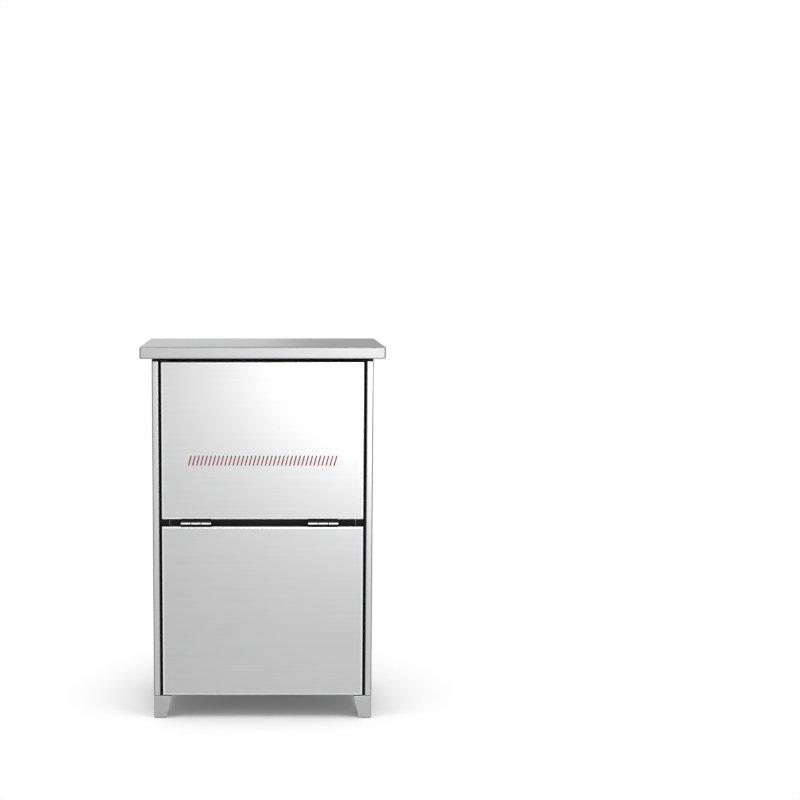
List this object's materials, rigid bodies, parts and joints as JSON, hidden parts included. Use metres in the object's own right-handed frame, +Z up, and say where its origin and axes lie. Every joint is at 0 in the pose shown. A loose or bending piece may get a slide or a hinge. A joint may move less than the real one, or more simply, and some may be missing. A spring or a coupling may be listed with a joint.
{
  "type": "fire extinguisher cabinet",
  "caption": "Free-standing folded stainless cabinet for portable fire extinguishers, with a lift-up lid, a drop-down upper front flap and angle feet.",
  "frame": {"origin": "on the ground, under the middle of the overall bounding box", "axes": "+Z up, the front with the flap faces -Y, +X is to the right of someone who looks at the front"},
  "size_m": [0.352, 0.1844, 0.55],
  "materials": {
    "stainless": "fine horizontal brushing",
    "foot_steel": "matt",
    "hinge_steel": "bright",
    "seal_rubber": "matt black sponge"
  },
  "bodies": {
    "cabinet": {"left_side_panel": "stainless", "right_side_panel": "stainless", "back_panel": "stainless", "floor_panel": "stainless", "lower_front_panel": "stainless", "mid_rail": "stainless", "left_rim_rail": "stainless", "right_rim_rail": "stainless", "rear_rim_rail": "stainless", "left_door_seal": "seal_rubber", "right_door_seal": "seal_rubber", "mid_seal": "seal_rubber", "rim_seal": "seal_rubber", "front_left_foot": "foot_steel", "front_right_foot": "foot_steel", "rear_left_foot": "foot_steel", "rear_right_foot": "foot_steel", "left_flap_hinge_lower_leaf": "hinge_steel", "left_flap_hinge_pin": "hinge_steel", "right_flap_hinge_lower_leaf": "hinge_steel", "right_flap_hinge_pin": "hinge_steel", "left_lid_hinge_body_leaf": "hinge_steel", "left_lid_hinge_pin": "hinge_steel", "right_lid_hinge_body_leaf": "hinge_steel", "right_lid_hinge_pin": "hinge_steel"},
    "flap": {"flap_panel": "stainless", "left_flap_hinge_upper_leaf": "hinge_steel", "right_flap_hinge_upper_leaf": "hinge_steel"},
    "lid": {"lid_panel": "stainless", "left_lid_hinge_lid_leaf": "hinge_steel", "right_lid_hinge_lid_leaf": "hinge_steel"}
  },
  "joints": [
    {"name": "flap_hinge", "type": "hinge", "parent": "cabinet", "child": "flap", "pos_m": [0, -0.07835, 0.2919], "axis": [1, 0, 0], "range_deg": [0, 175]},
    {"name": "lid_hinge", "type": "hinge", "parent": "cabinet", "child": "lid", "pos_m": [0, 0.09015, 0.532], "axis": [-1, 0, 0], "range_deg": [0, 105]}
  ]
}
